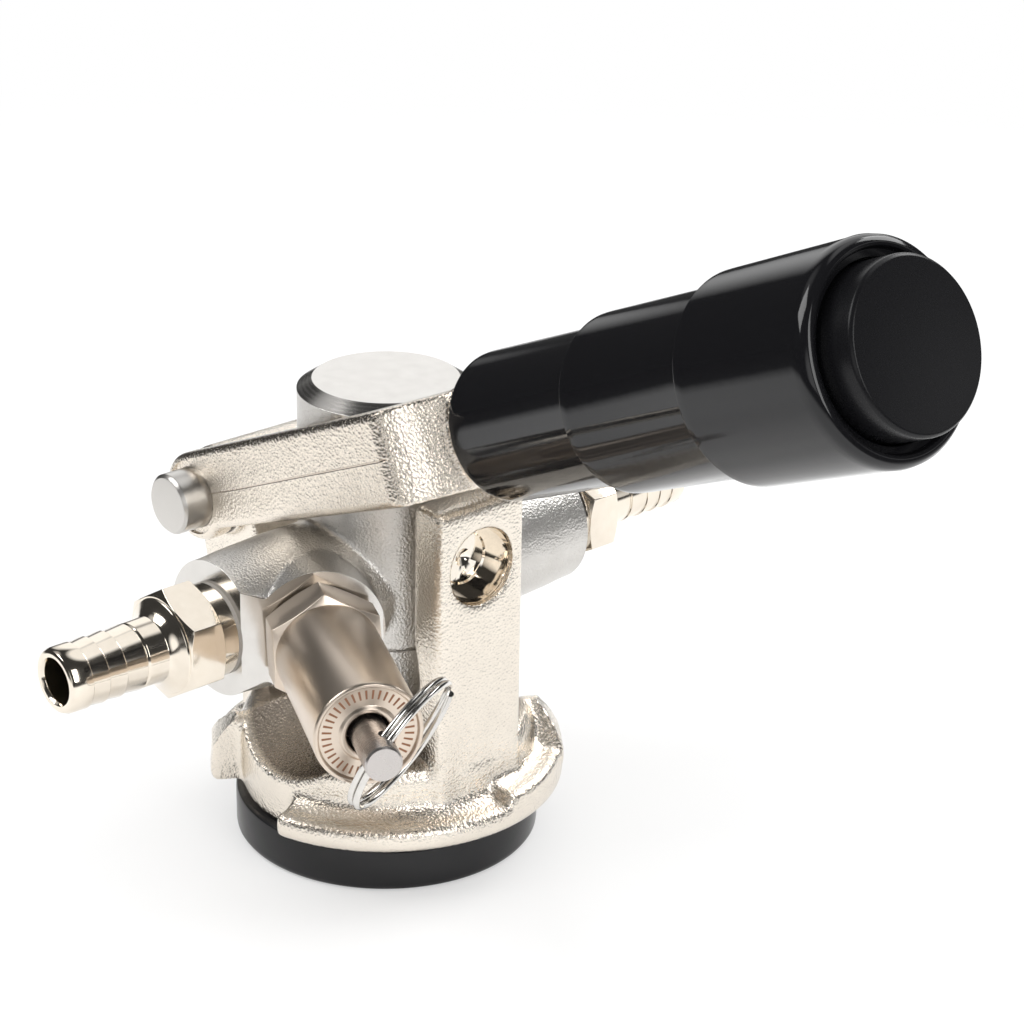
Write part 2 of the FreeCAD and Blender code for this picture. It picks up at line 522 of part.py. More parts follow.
# ---------------------------------------------------------------- hose fittings on the two ports
def fitting(label, side):
    made = body(label)
    y = S.barb_tip
    port_face = S.port_end + S.washer_thick
    inner_end = S.port_end - S.thread_deep + 0.6
    profile = [(y, S.barb_bore + 0.3), (y, S.barb_r - 0.6), (y - 0.5, S.barb_r - 0.1), (y - 4.3, S.barb_r),
               (y - 4.5, S.barb_r - 0.4), (y - 7.8, S.barb_r), (y - 8.0, S.barb_r - 0.4),
               (y - 11.5, S.barb_r), (y - 11.7, S.barb_r - 0.4), (y - 15.9, S.barb_r),
               (y - 20.6, S.barb_r), (y - 21.8, S.barb_r + 1.0),
               (S.hex_front + 0.6, S.hex_half - 0.8), (S.hex_front, S.hex_half - 0.3),
               (S.hex_back, S.hex_half - 0.3), (S.hex_back, S.hex_half - 0.5), (port_face, S.hex_half - 0.5),
               (port_face, S.thread_r - S.run_gap),
               (inner_end, S.thread_r - S.run_gap), (inner_end, S.barb_bore),
               (y - 0.3, S.barb_bore)]
    revolve(made, [(side * size(a), r) for a, r in profile], axis="Y")
    slab(made, "XZ", hexagon(S.hex_half, 2.0), side * (S.hex_back + S.hex_front) / 2, S.hex_front - S.hex_back)
    rim = S.hex_half + 1.9
    for face, inward in ((S.hex_front, -1), (S.hex_back, 1)):
        revolve(made, [(side * (face - inward * 0.2), S.hex_half - 0.3), (side * (face - inward * 0.2), rim),
                       (side * (face + inward * 1.15), rim)], axis="Y", cut=True)
    revolve(made, [(side * (inner_end - 1.0), 0), (side * (inner_end - 1.0), S.barb_bore),
                   (side * (y - 0.3), S.barb_bore), (side * (y + 1.0), S.barb_bore + 1.3), (side * (y + 1.0), 0)],
            axis="Y", cut=True)
    locate(made, (0, 0, S.port_z))
    return made


for label, side in (("beer", -1), ("gas", 1)):
    fitting(f"{label}_barb", side)
    turned(f"{label}_washer", tube(side * S.port_end, side * (S.port_end + S.washer_thick), S.thread_r + 0.1,
                                    S.hex_half - 0.6), "Y", (0, 0, S.port_z))

check_seat = S.port_end - S.thread_deep - 0.4
turned("check_seat", [(check_seat - 2.0, 2.6), (check_seat, 2.6), (check_seat + 1.0, 3.2),
                      (check_seat + 1.0, S.thread_r - 0.1), (check_seat - 2.0, S.thread_r - 0.1)], "Y",
       (0, 0, S.port_z))
ball = doc.addObject("Part::Sphere", "check_ball")
ball.Label = "check_ball"
bind(ball, "Radius", S.barb_bore - 0.45)
locate(ball, (0, check_seat + 3.2, S.port_z))
NODES.append(ball)


# ---------------------------------------------------------------- relief valve and its pull ring
def on_relief(made):
    locate(made, (0, S.relief_y, S.port_z), (0, 0, 1), SIZES["relief_turn"] - 90)


def relief_piece(label, along_radius):
    made = body(label)
    revolve(made, along_radius, axis="X")
    on_relief(made)
    return made


hex_start = S.boss_face + S.washer_thick
relief = body("relief_body")
revolve(relief, [
    (S.relief_inner, S.relief_bore), (S.chamber_near, S.relief_bore), (S.chamber_near, S.chamber_r),
    (S.chamber_far, S.chamber_r), (S.chamber_far, S.stem_r + 0.6), (S.relief_end - 0.1, S.stem_r + 0.6),
    (S.relief_end - 0.1, S.stem_r + 1.6), (S.relief_end - 0.7, S.stem_r + 1.9),
    (S.relief_end - 0.7, S.relief_r - 1.0), (S.relief_end, S.relief_r - 0.8), (S.relief_end, S.relief_r - 0.25),
    (S.relief_end - 0.25, S.relief_r), (S.relief_hex_end, S.relief_r), (hex_start, S.relief_hex - 0.3),
    (hex_start, S.relief_thread - S.run_gap), (S.relief_inner, S.relief_thread - S.run_gap)], axis="X")
slab(relief, "YZ", hexagon(S.relief_hex, 92.0), (hex_start + S.relief_hex_end) / 2, S.relief_hex_end - hex_start)
revolve(relief, [(S.relief_hex_end + 0.2, S.relief_hex - 0.1), (S.relief_hex_end + 0.2, S.relief_hex + 2.2),
                 (S.relief_hex_end - 1.2, S.relief_hex + 2.2)], axis="X", cut=True)
revolve(relief, [(S.relief_inner - 1.2, 0), (S.relief_inner - 1.2, S.relief_bore), (S.chamber_near, S.relief_bore),
                 (S.chamber_near, S.chamber_r), (S.chamber_far, S.chamber_r), (S.chamber_far, 0)], axis="X", cut=True)
on_relief(relief)
relief_piece("relief_washer", tube(S.boss_face, hex_start, S.relief_thread + 0.1, S.relief_hex - 1.2))
poppet_end = S.chamber_near + S.poppet_thick
relief_piece("relief_poppet", [(S.chamber_near, 0), (S.chamber_near, S.chamber_r - 1.2),
                               (poppet_end, S.chamber_r - 1.2), (poppet_end, 0)])
stem = body("relief_stem")
revolve(stem, [(poppet_end, 0), (poppet_end, S.chamber_r - 0.6), (poppet_end + 1.6, S.chamber_r - 0.6),
               (poppet_end + 2.4, S.stem_r), (S.stem_end - 0.5, S.stem_r),
               (S.stem_end, S.stem_r - 0.5), (S.stem_end, 0)], axis="X")
hole = fresh_sketch(stem, "XY")
hole.AttachmentOffset = Placement(Vector(0, 0, 0), Rotation(Vector(1, 0, 0), SIZES["ring_roll"] - 90))
hole.addGeometry(Part.Circle(Vector(SIZES["stem_hole_at"], 0, 0), Vector(0, 0, 1), SIZES["stem_hole_r"]), False)
pin_down(hole, 0, 3, (S.stem_hole_at, 0))
bind(hole, f"Constraints[{hole.addConstraint(Sketcher.Constraint('Radius', 0, 1.75))}]", S.stem_hole_r)
stem.Tip = extrude(stem, hole, 12.0, cut=True)
on_relief(stem)


def coil(label, radius, wire, turns, near, far):
    """A round-wire spring between two points of the relief axis."""
    pitch = (far - near - 2 * wire) / turns
    path = Part.makeHelix(pitch, far - near - 2 * wire, radius)
    start = path.Edges[0].valueAt(path.Edges[0].FirstParameter)
    way = path.Edges[0].tangentAt(path.Edges[0].FirstParameter)
    ring = Part.Wire(Part.makeCircle(wire, start, way))
    made = doc.addObject("Part::Feature", label)
    made.Label = label
    made.Shape = Part.Wire(path.Edges).makePipeShell([ring], True, True)
    turn = Rotation(Vector(0, 0, 1), SIZES["relief_turn"] - 90)
    root = Vector(0, SIZES["relief_y"], SIZES["port_z"])
    made.Placement = Placement(root + turn.multVec(Vector(near + wire, 0, 0)), turn * Rotation(Vector(0, 1, 0), 90))
    NODES.append(made)


coil("relief_spring", SIZES["spring_mean"], SIZES["spring_wire"], 6, poppet_end.value + 2.5,
     SIZES["chamber_far"] - 0.1)

lie = math.radians(SIZES["ring_lie"])
roll = math.radians(SIZES["ring_roll"])
away = Vector(-math.cos(lie), math.sin(lie) * math.sin(roll), -math.sin(lie) * math.cos(roll))
through = Vector(0, math.cos(roll), math.sin(roll))
pull = body("pull_ring")
w = S.wire_r
strand = [(0.0, -0.35), (0.45, -0.95), (1.1, -0.95), (1.75, -0.4), (1.75, 0.4), (1.1, 0.95), (0.45, 0.95),
          (0.0, 0.35), (-0.45, 0.95), (-1.1, 0.95), (-1.75, 0.4), (-1.75, -0.4), (-1.1, -0.95), (-0.45, -0.95)]
revolve(pull, [(w * a, S.ring_mean + w * r) for a, r in strand])
relief_turn = Placement(Vector(0, SIZES["relief_y"], SIZES["port_z"]),
                        Rotation(Vector(0, 0, 1), SIZES["relief_turn"] - 90))
ring_at = Vector(SIZES["stem_hole_at"], 0, 0) + away * (SIZES["ring_mean"] - 0.2)
pull.Placement = relief_turn.multiply(Placement(ring_at, Rotation(-away, through, (-away).cross(through), "ZXY")))
doc.recompute()

# ---------------------------------------------------------------- checks and export
for item in doc.Objects:
    if "Invalid" in item.State or "Error" in item.State:
        raise RuntimeError(f"{item.Label} did not recompute: {item.State}")
for node in NODES:
    shape = node.Shape
    if shape.isNull() or not shape.isValid() or len(shape.Solids) != 1:
        raise RuntimeError(f"{node.Label} is not one valid solid")
os.makedirs("parts", exist_ok=True)
for node in NODES:
    node.Shape.exportStep(f"parts/{node.Label}.step")
    print(f"{node.Label:20s} {node.Shape.Volume:10.1f} mm3")
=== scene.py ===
import json
import math

import bpy
from mathutils import Matrix, Vector


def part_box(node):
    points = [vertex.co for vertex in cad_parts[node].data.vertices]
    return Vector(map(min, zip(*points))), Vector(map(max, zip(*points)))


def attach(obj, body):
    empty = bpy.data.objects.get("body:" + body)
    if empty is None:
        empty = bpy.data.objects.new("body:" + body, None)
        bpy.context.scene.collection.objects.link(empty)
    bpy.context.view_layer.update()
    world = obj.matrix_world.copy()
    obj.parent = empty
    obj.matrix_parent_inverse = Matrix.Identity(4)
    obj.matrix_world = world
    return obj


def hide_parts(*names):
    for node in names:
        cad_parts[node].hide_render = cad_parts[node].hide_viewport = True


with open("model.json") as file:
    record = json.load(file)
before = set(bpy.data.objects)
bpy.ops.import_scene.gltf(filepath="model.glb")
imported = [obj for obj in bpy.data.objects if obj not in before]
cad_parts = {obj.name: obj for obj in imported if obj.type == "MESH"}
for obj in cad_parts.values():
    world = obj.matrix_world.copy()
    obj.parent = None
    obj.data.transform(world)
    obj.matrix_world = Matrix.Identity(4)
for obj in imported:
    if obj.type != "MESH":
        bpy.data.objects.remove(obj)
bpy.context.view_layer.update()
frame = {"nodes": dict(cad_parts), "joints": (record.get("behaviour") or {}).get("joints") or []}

MM = 0.001
JOINTS = {joint["name"]: joint for joint in frame["joints"]}
PIVOT = Vector(JOINTS["lever_pivot"]["pos_m"])
LATCH_WAY = Vector(JOINTS["latch_slide"]["axis"])
RELIEF_WAY = Vector(JOINTS["relief_pull"]["axis"])
RING_HOOK = Vector(JOINTS["ring_swing"]["pos_m"])
RING_AXIS = Vector(JOINTS["ring_swing"]["axis"])
TILT = math.atan2(-LATCH_WAY.z, -LATCH_WAY.x)
PORT_Z = JOINTS["ring_swing"]["pos_m"][2]
CAP_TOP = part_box("valve_head")[1][2]
RING_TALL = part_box("base_ring")[1][2]
RING_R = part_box("base_ring")[1][0]
BARB_TIP = -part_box("beer_barb")[0][1]

CAP_R = 16.85 * MM
CAP_FACE_R = 14.0 * MM
CAP_BEVEL = 1.9 * MM
ARM_OUT = 22.0 * MM
PIN_R = 6.05 * MM
PORT_END = 41.2 * MM
BOSS_FACE = 16.4 * MM
HEX_BACK = 45.3 * MM
HEX_FRONT = 53.0 * MM
HEX_HALF = 9.5 * MM
BARB_R = 6.25 * MM
BARB_BORE = 4.2 * MM
RELIEF_R = 9.8 * MM
RELIEF_HEX = 10.0 * MM
RELIEF_HEX_END = 24.7 * MM
RELIEF_END = 57.2 * MM
STEM_R = 3.3 * MM
STEM_END = 68.4 * MM
GRIP_STARTS = (73.9 * MM, 107.7 * MM, 139.1 * MM)
GRIP_RADII = (13.8 * MM, 15.8 * MM, 18.0 * MM)
GRIP_END = 170.3 * MM
GRIP_RIM_R = 18.5 * MM
BUTTON_TOP = 175.8 * MM
BUTTON_R = 14.35 * MM

# A lathe works along its own Z; these frames lay that Z along each real axis.
UP = Matrix.Identity(4)
ALONG_X = Matrix.Rotation(math.radians(90), 4, "Y")
LEVER = Matrix.Translation(PIVOT) @ Matrix.Rotation(-TILT, 4, "Y")
HANDLE = LEVER @ ALONG_X
RELIEF_ROOT = Vector((0, RING_HOOK.y - RELIEF_WAY.y * RING_HOOK.x / RELIEF_WAY.x, PORT_Z))
RELIEF = Matrix.Translation(RELIEF_ROOT) @ RELIEF_WAY.to_track_quat("Z", "Y").to_matrix().to_4x4()
BEER = Matrix.Translation((0, 0, PORT_Z)) @ Matrix.Rotation(math.radians(90), 4, "X")
GAS = Matrix.Translation((0, 0, PORT_Z)) @ Matrix.Rotation(math.radians(-90), 4, "X")
HINGE = Matrix.Translation(PIVOT) @ Matrix.Rotation(math.radians(90), 4, "X")


# ------------------------------------------------------------------ shader maths
class Sock:
    """A socket that takes part in arithmetic, each step adding one Math node."""

    def __init__(self, tree, link):
        self.tree = tree
        self.link = link

    def maths(self, operation, *others, clamp=False):
        node = self.tree.nodes.new("ShaderNodeMath")
        node.operation = operation
        node.use_clamp = clamp
        for slot, value in zip(node.inputs, (self, *others)):
            if isinstance(value, Sock):
                self.tree.links.new(value.link, slot)
            else:
                slot.default_value = value
        return Sock(self.tree, node.outputs[0])

    def __add__(self, other):
        return self.maths("ADD", other)

    def __radd__(self, other):
        return self.maths("ADD", other)

    def __sub__(self, other):
        return self.maths("SUBTRACT", other)

    def __rsub__(self, other):
        return (self * -1.0).maths("ADD", other)

    def __mul__(self, other):
        return self.maths("MULTIPLY", other)

    def __rmul__(self, other):
        return self.maths("MULTIPLY", other)

    def __truediv__(self, other):
        return self.maths("DIVIDE", other)

    def __abs__(self):
        return self.maths("ABSOLUTE")

    def above(self, level, width):
        """0 below the level and 1 above it, over a soft width."""
        return ((self - level) / width + 0.5).maths("MULTIPLY", 1.0, clamp=True)

    def clipped(self):
        return self.maths("MULTIPLY", 1.0, clamp=True)


class Finish:
    """A material and the few nodes that the finishes here are made from."""

    def __init__(self, name, color, rough, metallic=0.0, **sockets):
        self.material = bpy.data.materials.new(name)
        self.material.use_nodes = True
        self.tree = self.material.node_tree
        self.shader = self.tree.nodes["Principled BSDF"]
        self.shader.inputs["Base Color"].default_value = (*color, 1.0)
        self.shader.inputs["Roughness"].default_value = rough
        self.shader.inputs["Metallic"].default_value = metallic
        for socket, value in sockets.items():
            self.shader.inputs[socket.replace("_", " ")].default_value = value
        self.place = self.node("ShaderNodeTexCoord", "Object")

    def node(self, kind, output, settings=None, **inputs):
        """Add a node, its settings first, then its sockets; returns the named output."""
        made = self.tree.nodes.new(kind)
        for key, value in (settings or {}).items():
            setattr(made, key, value)
        for key, value in inputs.items():
            slot = made.inputs[key.replace("_", " ")]
            if isinstance(value, Sock):
                self.tree.links.new(value.link, slot)
            else:
                slot.default_value = value
        return Sock(self.tree, made.outputs[output])

    def mapped(self, matrix):
        """Object coordinates seen from a frame, so a pattern follows a tilted axis."""
        inverse = matrix.inverted()
        turned = self.node("ShaderNodeMapping", "Vector", {"vector_type": "POINT"}, Vector=self.place,
                           Location=inverse.to_translation(), Rotation=inverse.to_euler("XYZ"))
        return turned

    def axes(self, vector):
        node = self.tree.nodes.new("ShaderNodeSeparateXYZ")
        self.tree.links.new(vector.link, node.inputs[0])
        return [Sock(self.tree, out) for out in node.outputs]

    def noise(self, scale, detail=3.0, vector=None, roughness=0.5):
        return self.node("ShaderNodeTexNoise", "Fac", None, Vector=vector or self.place, Scale=scale,
                         Detail=detail, Roughness=roughness)

    def pits(self, scale, vector=None):
        return self.node("ShaderNodeTexVoronoi", "Distance", None, Vector=vector or self.place, Scale=scale)

    def feed(self, socket, value):
        self.tree.links.new(value.link, self.shader.inputs[socket])

    def tint(self, low, high, factor):
        """Blend two colours by a mask and feed Base Color."""
        mix = self.tree.nodes.new("ShaderNodeMix")
        mix.data_type = "RGBA"
        mix.inputs[6].default_value = (*low, 1.0)
        mix.inputs[7].default_value = (*high, 1.0)
        self.tree.links.new(factor.link, mix.inputs[0])
        self.tree.links.new(mix.outputs[2], self.shader.inputs["Base Color"])

    def bumped(self, height, strength=0.3, distance=0.0002):
        self.feed("Normal", self.node("ShaderNodeBump", "Normal", None, Height=height, Strength=strength,
                                      Distance=distance))


def cast_skin(finish, grain, lump, strength, machined):
    """Fine sand-cast grain over a slow unevenness, left out where the mask is machined."""
    rough_part = 1.0 - machined
    fine = finish.noise(grain, 4.0, roughness=0.65)
    pit = finish.pits(grain * 0.8)
    slow = finish.noise(lump, 2.0)
    height = (fine * 0.5 + pit * 0.5 + slow * 0.6) * rough_part
    finish.bumped(height, strength, 0.0002)
    return fine, slow, rough_part


def housing_nickel():
    finish = Finish("cast_nickel_housing", (0.70, 0.62, 0.52), 0.3, 1.0)
    x, y, z = finish.axes(finish.place)
    radius = (y * y + (z - PIVOT.z) * (z - PIVOT.z)).maths("SQRT")
    hole = (1.0 - radius.above(7.6 * MM, 0.3 * MM)) * x.above(20 * MM, 1 * MM)
    fine, slow, grainy = cast_skin(finish, 2100, 260, 1.0, hole)
    around = (x * x + y * y).maths("SQRT")
    # Painted shade: the colour is darkened inside the hub's cup, where the recess lies in shadow.
    cup_painted_shade = (1.0 - around.above(27.0 * MM, 1.5 * MM)) * (1.0 - z.above(32 * MM, 6 * MM))
    finish.tint((0.30, 0.26, 0.22), (0.94, 0.87, 0.77), (0.7 + slow * 0.15 + fine * 0.2 - cup_painted_shade * 0.75).clipped())
    finish.feed("Roughness", 0.07 + grainy * (0.03 + fine * 0.18))
    return finish.material


def lever_nickel():
    finish = Finish("cast_nickel_lever", (0.72, 0.64, 0.54), 0.3, 1.0)
    y, z = finish.axes(finish.mapped(LEVER))[1:]
    side = abs(y).above(ARM_OUT - 0.6 * MM, 0.3 * MM)
    seam = (1.0 - abs(z).above(0.16 * MM, 0.12 * MM)) * side
    fine, slow, grainy = cast_skin(finish, 2100, 240, 1.0, seam * 0.6)
    finish.tint((0.62, 0.54, 0.45), (0.94, 0.87, 0.77), (0.25 + slow * 0.3 + fine * 0.5 - seam * 0.6).clipped())
    finish.feed("Roughness", 0.07 + grainy * (0.03 + fine * 0.18))
    return finish.material


def head_silver():
    finish = Finish("blasted_silver", (0.66, 0.64, 0.61), 0.36, 1.0)
    x, y, z = finish.axes(finish.place)
    cap = z.above(CAP_TOP - CAP_BEVEL - 0.05 * MM, 0.1 * MM)
    ends = abs(y).above(PORT_END - 0.1 * MM, 0.1 * MM)
    facing = finish.axes(finish.mapped(RELIEF))[2].above(BOSS_FACE - 0.15 * MM, 0.1 * MM)
    near_boss = (1.0 - y.above(-17 * MM, 0.5 * MM)) * (1.0 - (x * -1.0).above(0.0, 0.5 * MM))
    cut = (cap + ends + facing * near_boss).clipped()
    fine, slow, grainy = cast_skin(finish, 2600, 300, 0.85, cut)
    radius = (x * x + y * y).maths("SQRT")
    ring = (radius * 9000.0).maths("SINE") * cap
    finish.tint((0.58, 0.56, 0.53), (0.74, 0.72, 0.69), slow * 0.6 + fine * 0.4 + ring * 0.04)
    finish.feed("Roughness", 0.2 + grainy * (0.02 + fine * 0.16) + ring * 0.03)
    return finish.material


def turned_steel(name, where, color, rough, pitch=5200.0):
    """Satin turned metal: fine rings across the part's own axis, a few brighter than the rest."""
    finish = Finish(name, color, rough, 1.0)
    z = finish.axes(finish.mapped(where))[2]
    rings = finish.node("ShaderNodeCombineXYZ", "Vector", None, Z=z)
    lines = finish.noise(pitch, 3.0, rings, 0.7)
    slow = finish.noise(160, 2.0)
    finish.tint(tuple(c * 0.88 for c in color), tuple(min(1.0, c * 1.08) for c in color), lines * 0.5 + slow * 0.5)
    finish.feed("Roughness", lines * 0.14 + (rough - 0.07) + slow * 0.04)
    finish.bumped(lines, 0.06, 0.0001)
    return finish.material


def relief_satin():
    """Warm satin barrel, with a band of plain brown ticks sunk in its end face."""
    finish = Finish("relief_satin", (0.70, 0.63, 0.55), 0.3, 1.0)
    x, y, z = finish.axes(finish.mapped(RELIEF))
    lines = finish.noise(5200, 3.0, finish.node("ShaderNodeCombineXYZ", "Vector", None, Z=z), 0.7)
    slow = finish.noise(160, 2.0)
    radius = (x * x + y * y).maths("SQRT")
    band = 1.0 - abs(radius - 7.35 * MM).above(0.85 * MM, 0.1 * MM)
    ticks = (y.maths("ARCTAN2", x) * 40.0).maths("SINE").above(0.5, 0.3)
    etched = band * ticks * z.above(RELIEF_END - 1.3 * MM, 0.2 * MM)
    plain = lines * 0.5 + slow * 0.5
    finish.tint((0.27, 0.12, 0.06), (0.74, 0.65, 0.55), (1.0 - etched) * (0.78 + plain * 0.22))
    finish.feed("Roughness", lines * 0.14 + 0.22 + slow * 0.04 + etched * 0.3)
    finish.feed("Metallic", 1.0 - etched * 0.8)
    finish.bumped(lines - etched * 0.8, 0.06, 0.0001)
    return finish.material


def bright_nickel():
    finish = Finish("bright_nickel", (0.83, 0.75, 0.64), 0.1, 1.0)
    slow = finish.noise(420, 3.0)
    finish.tint((0.78, 0.70, 0.59), (0.88, 0.81, 0.71), slow)
    finish.feed("Roughness", 0.07 + slow * 0.09)
    finish.bumped(slow, 0.05, 0.0001)
    return finish.material


def moulded_black(name, rough, gloss=0.4):
    """Gloss black moulding with a trace of orange peel and dust-fine scuffs."""
    finish = Finish(name, (0.006, 0.006, 0.007), rough, 0.0, Specular_IOR_Level=gloss)
    peel = finish.noise(500, 2.0)
    scuff = finish.noise(3200, 4.0, roughness=0.7)
    finish.tint((0.004, 0.004, 0.005), (0.009, 0.009, 0.010), scuff)
    finish.feed("Roughness", rough + scuff * 0.08 + peel * 0.04)
    finish.bumped(peel, 0.04, 0.0002)
    return finish.material


def soft_rubber():
    finish = Finish("seal_rubber", (0.03, 0.03, 0.03), 0.6)
    grain = finish.noise(2500, 3.0)
    finish.tint((0.022, 0.022, 0.022), (0.045, 0.045, 0.045), grain)
    finish.feed("Roughness", 0.5 + grain * 0.25)
    finish.bumped(grain, 0.15, 0.0001)
    return finish.material


def washer_fibre():
    finish = Finish("washer_fibre", (0.33, 0.31, 0.28), 0.6)
    grain = finish.noise(2200, 4.0)
    finish.tint((0.26, 0.24, 0.22), (0.42, 0.39, 0.35), grain)
    finish.feed("Roughness", 0.5 + grain * 0.2)
    finish.bumped(grain, 0.12, 0.0001)
    return finish.material


def ring_wire():
    finish = Finish("ring_wire", (0.72, 0.70, 0.67), 0.14, 1.0)
    slow = finish.noise(900, 3.0)
    finish.tint((0.62, 0.60, 0.57), (0.80, 0.78, 0.75), slow)
    finish.feed("Roughness", 0.1 + slow * 0.12)
    finish.bumped(slow, 0.05, 0.0001)
    return finish.material


# ------------------------------------------------------------------ modelling helpers
def clear_selection():
    if bpy.context.mode != "OBJECT":
        bpy.ops.object.mode_set(mode="OBJECT")
    bpy.ops.object.select_all(action="DESELECT")


def only(obj):
    clear_selection()
    obj.select_set(True)
    bpy.context.view_layer.objects.active = obj
    return obj


def settle(obj, matrix=UP):
    """Put a piece in its frame and move that place into its mesh."""
    only(obj)
    obj.matrix_world = matrix @ obj.matrix_world
    bpy.ops.object.transform_apply(location=True, rotation=True, scale=True)
    return obj


def modified(obj, kind, **settings):
    """Add one modifier with its settings and apply it."""
    only(obj)
    made = obj.modifiers.new(kind.lower(), kind)
    for key, value in settings.items():
        setattr(made, key, value)
    bpy.ops.object.modifier_apply(modifier=made.name)
    return obj


def lathe(name, steps, matrix=UP, sides=128):
    """Raise a circle through (along, radius) steps; a step back to the first one closes a ring."""
    clear_selection()
    least = 0.01 * MM
    along, radius = steps[0]
    radius = max(radius, least)
    bpy.ops.mesh.primitive_circle_add(vertices=sides, radius=radius, location=(0, 0, along))
    obj = bpy.context.object
    obj.name = name
    bpy.ops.object.mode_set(mode="EDIT")
    bpy.ops.mesh.select_all(action="SELECT")
    for next_along, next_radius in steps[1:]:
        next_radius = max(next_radius, least)
        bpy.ops.mesh.extrude_edges_move(TRANSFORM_OT_translate={"value": (0, 0, next_along - along)})
        grow = next_radius / radius
        bpy.ops.transform.resize(value=(grow, grow, 1), center_override=(0, 0, next_along))
        along, radius = next_along, next_radius
    bpy.ops.mesh.select_all(action="SELECT")
    bpy.ops.mesh.remove_doubles(threshold=0.02 * MM)
    bpy.ops.mesh.normals_make_consistent(inside=False)
    bpy.ops.object.mode_set(mode="OBJECT")
    return settle(obj, matrix)


def hex_nut(name, low, high, half, matrix, turn, bevel):
    """A hexagon bar with the corners of the wanted ends turned back to a cone."""
    clear_selection()
    reach = half / math.cos(math.radians(30))
    bpy.ops.mesh.primitive_cylinder_add(vertices=6, radius=reach, depth=high - low,
                                        location=(0, 0, (low + high) / 2), rotation=(0, 0, turn))
    obj = bpy.context.object
    obj.name = name
    rim = reach + 1.0 * MM
    drop = (rim - half) * math.tan(math.radians(30))
    collar = lathe(name + "_cone", [(low - 1 * MM, 0), (low - 1 * MM, half * 0.98), (low, half * 0.98),
                                    (low + drop, rim), (high - drop, rim), (high, half * 0.98),
                                    (high + 1 * MM, half * 0.98), (high + 1 * MM, 0)], sides=96)
    settle(obj)
    modified(obj, "BOOLEAN", operation="INTERSECT", object=collar, solver="EXACT")
    bpy.data.objects.remove(collar)
    modified(obj, "BEVEL", width=bevel, segments=3, limit_method="ANGLE", angle_limit=math.radians(25))
    return settle(obj, matrix)


def crisp(obj, bevel=0.0, angle=30.0):
    """Break sharp edges a little and smooth the rest."""
    if bevel:
        modified(obj, "BEVEL", width=bevel, segments=3, limit_method="ANGLE", angle_limit=math.radians(angle))
    only(obj)
    bpy.ops.object.shade_smooth_by_angle(angle=math.radians(angle))
    return obj


def joined(name, *parts):
    clear_selection()
    for part in parts:
        part.select_set(True)
    bpy.context.view_layer.objects.active = parts[0]
    bpy.ops.object.join()
    parts[0].name = name
    return parts[0]


def cut_with(obj, *cutters):
    """Machine a casting with turned or flat cutters."""
    for cutter in cutters:
        modified(obj, "BOOLEAN", operation="DIFFERENCE", object=cutter, solver="MANIFOLD")
        bpy.data.objects.remove(cutter)
    return obj


def block(low, high, matrix=UP):
    clear_selection()
    middle = [(a + b) / 2 for a, b in zip(low, high)]
    bpy.ops.mesh.primitive_cube_add(size=1, location=middle)
    obj = bpy.context.object
    obj.scale = [b - a for a, b in zip(low, high)]
    return settle(obj, matrix)


def casting(name, node, voxel, passes, stock=()):
    """A cast blank: the CAD shape with its stock, fused and worn to soft edges and inside radii."""
    source = frame["nodes"][node]
    clear_selection()
    blank = source.copy()
    blank.data = source.data.copy()
    bpy.context.scene.collection.objects.link(blank)
    blank.parent = None
    blank.matrix_world = Matrix.Identity(4)
    only(blank)
    bpy.ops.object.mode_set(mode="EDIT")
    bpy.ops.mesh.select_all(action="SELECT")
    bpy.ops.mesh.remove_doubles(threshold=0.002 * MM)
    bpy.ops.object.mode_set(mode="OBJECT")
    blank = joined(name, blank, *stock)
    modified(blank, "REMESH", mode="VOXEL", voxel_size=voxel, adaptivity=0.0)
    modified(blank, "SMOOTH", factor=0.5, iterations=passes)
    return blank


def dressed(obj, material, body, slot, *nodes):
    """Give a piece its finish, hang it on the body it rides on, and hide the CAD nodes it stands for."""
    obj.data.materials.clear()
    obj.data.materials.append(material)
    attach(obj, body)
    if nodes:
        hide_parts(*nodes)
    return obj


# ------------------------------------------------------------------ finishes
NICKEL_HOUSING = housing_nickel()
NICKEL_LEVER = lever_nickel()
SILVER = head_silver()
BRIGHT = bright_nickel()
GRIP_BLACK = moulded_black("grip_black", 0.03)
RING_BLACK = moulded_black("base_black", 0.14)
BUTTON_BLACK = moulded_black("button_black", 0.22, 0.2)
RUBBER = soft_rubber()
FIBRE = washer_fibre()
WIRE = ring_wire()
STEEL_UP = turned_steel("turned_steel", UP, (0.66, 0.62, 0.57), 0.3)
STEEL_PIN = turned_steel("pin_steel", HINGE, (0.62, 0.60, 0.57), 0.3)
STEEL_RELIEF = relief_satin()
STEEL_STEM = turned_steel("stem_steel", RELIEF, (0.55, 0.52, 0.50), 0.26)
STEEL_BUTTON = turned_steel("button_steel", HANDLE, (0.72, 0.71, 0.69), 0.3)


# ------------------------------------------------------------------ pieces
def base_ring():
    r, tall = RING_R, RING_TALL
    inner = 24.3 * MM
    steps = [(0, inner), (0, r - 1.3 * MM), (0.3 * MM, r - 0.5 * MM), (0.9 * MM, r - 0.08 * MM), (1.5 * MM, r),
             (tall - 0.8 * MM, r), (tall - 0.25 * MM, r - 0.2 * MM), (tall, r - 0.7 * MM), (tall, inner), (0, inner)]
    ring = crisp(lathe("ring_skin", steps, sides=192), 0.12 * MM)
    dressed(ring, RING_BLACK, "coupler", "black_gloss", "base_ring")


